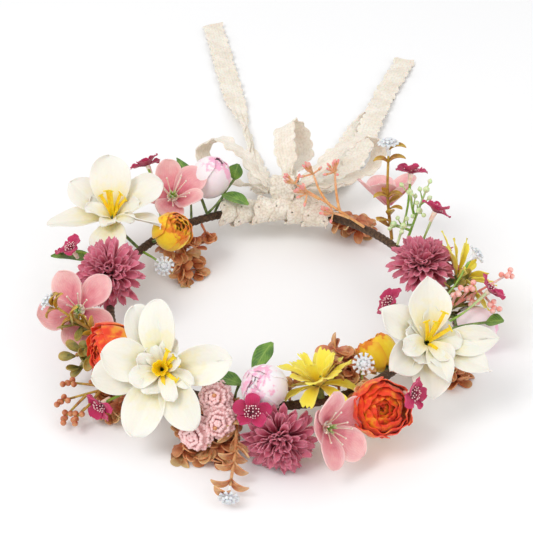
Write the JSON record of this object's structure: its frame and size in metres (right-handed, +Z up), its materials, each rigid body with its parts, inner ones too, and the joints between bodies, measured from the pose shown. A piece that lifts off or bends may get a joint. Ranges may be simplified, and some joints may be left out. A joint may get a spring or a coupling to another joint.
{
  "type": "flower crown",
  "caption": "Ring of artificial blooms, buds, leaves and springy sprigs on a paper-taped wire band, open at the back and tied with a crochet-lace bow with long tails.",
  "frame": {"origin": "centre of the head opening, on the surface that the crown lies on", "axes": "+Z up out of the head opening, +Y towards the bow at the back of the head, -Y towards the forehead"},
  "size_m": [0.2562, 0.4974, 0.08],
  "materials": {
    "paper_tape": "matte",
    "steel_wire": "satin",
    "green_plastic": "satin",
    "lemon_fabric": "matte",
    "ochre_plastic": "satin",
    "fuchsia_fabric": "matte",
    "pale_green_plastic": "satin",
    "leaf_fabric": "matte",
    "mauve_fabric": "matte",
    "orange_fabric": "matte",
    "coral_plastic": "satin",
    "peach_plastic": "satin",
    "blush_fabric": "matte",
    "pink_fabric": "matte",
    "pale_pink_plastic": "matte",
    "lace": "matte, open crochet lace",
    "rust_plastic": "satin",
    "ivory_fabric": "matte, fine weave",
    "yellow_stamen": "matte",
    "white_plastic": "matte",
    "yellow_fabric": "matte"
  },
  "bodies": {
    "crown": {"band_tape": "paper_tape", "band_wire": "steel_wire", "daisy_front_core": "green_plastic", "daisy_front_petals": "lemon_fabric", "daisy_right_core": "green_plastic", "daisy_right_petals": "lemon_fabric", "fuchsia_blossoms": "fuchsia_fabric", "green_leaves": "leaf_fabric", "mauve_calyxes": "green_plastic", "mauve_flower_front_head": "mauve_fabric", "mauve_flower_left_head": "mauve_fabric", "mauve_flower_right_head": "mauve_fabric", "orange_calyxes": "green_plastic", "orange_flower_left_head": "orange_fabric", "orange_flower_right_head": "orange_fabric", "peony_bud_back_head": "blush_fabric", "peony_bud_front_head": "blush_fabric", "peony_bud_right_head": "blush_fabric", "peony_calyxes": "green_plastic", "pink_flower_back_core": "green_plastic", "pink_flower_back_petals": "pink_fabric", "pink_flower_front_core": "green_plastic", "pink_flower_front_petals": "pink_fabric", "pink_flower_left_core": "green_plastic", "pink_flower_left_petals": "pink_fabric", "pink_flower_right_core": "green_plastic", "pink_flower_right_petals": "pink_fabric", "pink_pompoms": "pale_pink_plastic", "ribbon_knot": "lace", "ribbon_wrap": "lace", "rust_leaf_sprays": "rust_plastic", "white_flower_back_left_calyx": "green_plastic", "white_flower_front_left_calyx": "green_plastic", "white_flower_right_calyx": "green_plastic", "white_star_flowers": "white_plastic", "yellow_bud_back_head": "yellow_fabric", "yellow_bud_right_head": "yellow_fabric", "yellow_calyxes": "green_plastic"},
    "left_tail": {"ribbon_tail_left": "lace"},
    "right_tail": {"ribbon_tail_right": "lace"},
    "left_loop": {"ribbon_loop_left": "lace"},
    "right_loop": {"ribbon_loop_right": "lace"},
    "upper_loop": {"ribbon_loop_upper": "lace"},
    "white_flower_back_left_head": {"white_flower_back_left_petals": "ivory_fabric", "white_flower_back_left_stamens": "yellow_stamen"},
    "white_flower_front_left_head": {"white_flower_front_left_petals": "ivory_fabric", "white_flower_front_left_stamens": "yellow_stamen"},
    "white_flower_right_head": {"white_flower_right_petals": "ivory_fabric", "white_flower_right_stamens": "yellow_stamen"},
    "star_sprig_back": {"star_sprig_back": "ochre_plastic"},
    "star_sprig_left": {"star_sprig_left": "ochre_plastic"},
    "drop_sprig_front": {"drop_sprig_front": "ochre_plastic"},
    "green_berry_sprig": {"green_berry_sprig": "pale_green_plastic"},
    "peach_bud_sprig": {"peach_bud_sprig": "peach_plastic"},
    "peach_berry_sprig": {"peach_berry_sprig": "coral_plastic"},
    "rust_berry_sprig": {"rust_berry_sprig": "rust_plastic"}
  },
  "joints": [
    {"name": "left_tail_fold", "type": "hinge", "parent": "crown", "child": "left_tail", "pos_m": [-0.002, 0.109, 0.017], "axis": [-0.9874, -0.1582, 0], "range_deg": [-10, 90]},
    {"name": "right_tail_fold", "type": "hinge", "parent": "crown", "child": "right_tail", "pos_m": [0.024, 0.107, 0.017], "axis": [-0.9373, 0.3486, 0], "range_deg": [-10, 90]},
    {"name": "left_loop_flop", "type": "hinge", "parent": "crown", "child": "left_loop", "pos_m": [-0.003, 0.104, 0.027], "axis": [0.4226, 0.9063, 0], "range_deg": [-10, 10], "stiffness_Nm_per_rad": 0.03},
    {"name": "right_loop_flop", "type": "hinge", "parent": "crown", "child": "right_loop", "pos_m": [0.021, 0.101, 0.029], "axis": [0.4226, -0.9063, 0], "range_deg": [-10, 10], "stiffness_Nm_per_rad": 0.03},
    {"name": "upper_loop_flop", "type": "hinge", "parent": "crown", "child": "upper_loop", "pos_m": [0.012, 0.108, 0.033], "axis": [0.9659, -0.2588, 0], "range_deg": [-10, 10], "stiffness_Nm_per_rad": 0.03},
    {"name": "white_flower_back_left_turn", "type": "hinge", "parent": "crown", "child": "white_flower_back_left_head", "pos_m": [-0.08964, 0.05507, 0.03558], "axis": [-0.0885, -0.2432, 0.9659], "range_deg": [-30, 30]},
    {"name": "white_flower_front_left_turn", "type": "hinge", "parent": "crown", "child": "white_flower_front_left_head", "pos_m": [-0.05397, -0.08104, 0.03813], "axis": [-0.1228, -0.6964, 0.7071], "range_deg": [-30, 30]},
    {"name": "white_flower_right_turn", "type": "hinge", "parent": "crown", "child": "white_flower_right_head", "pos_m": [0.08022, -0.05947, 0.03798], "axis": [0.1732, -0.6463, 0.7431], "range_deg": [-30, 30]},
    {"name": "star_sprig_back_flex", "type": "hinge", "parent": "crown", "child": "star_sprig_back", "pos_m": [0.07051, 0.05313, 0.02349], "axis": [1, 0, 0], "range_deg": [-6, 6], "stiffness_Nm_per_rad": 0.02},
    {"name": "star_sprig_left_flex", "type": "hinge", "parent": "crown", "child": "star_sprig_left", "pos_m": [-0.08198, -0.0391, 0.02207], "axis": [0.2165, 0.9763, 0], "range_deg": [-6, 6], "stiffness_Nm_per_rad": 0.02},
    {"name": "drop_sprig_front_flex", "type": "hinge", "parent": "crown", "child": "drop_sprig_front", "pos_m": [-0.01666, -0.08987, 0.01917], "axis": [-0.9974, 0.0723, 0], "range_deg": [-6, 6], "stiffness_Nm_per_rad": 0.02},
    {"name": "green_berry_sprig_flex", "type": "hinge", "parent": "crown", "child": "green_berry_sprig", "pos_m": [0.07716, 0.04455, 0.02332], "axis": [1, 0, 0], "range_deg": [-6, 6], "stiffness_Nm_per_rad": 0.02},
    {"name": "peach_bud_sprig_flex", "type": "hinge", "parent": "crown", "child": "peach_bud_sprig", "pos_m": [0.05532, 0.06593, 0.02291], "axis": [0.4008, 0.9162, 0], "range_deg": [-6, 6], "stiffness_Nm_per_rad": 0.02},
    {"name": "peach_berry_sprig_flex", "type": "hinge", "parent": "crown", "child": "peach_berry_sprig", "pos_m": [0.08989, -0.01585, 0.02122], "axis": [0.4349, -0.9005, 0], "range_deg": [-6, 6], "stiffness_Nm_per_rad": 0.02},
    {"name": "rust_berry_sprig_flex", "type": "hinge", "parent": "crown", "child": "rust_berry_sprig", "pos_m": [-0.06353, -0.06578, 0.01942], "axis": [-0.2239, 0.9746, 0], "range_deg": [-6, 6], "stiffness_Nm_per_rad": 0.02}
  ]
}
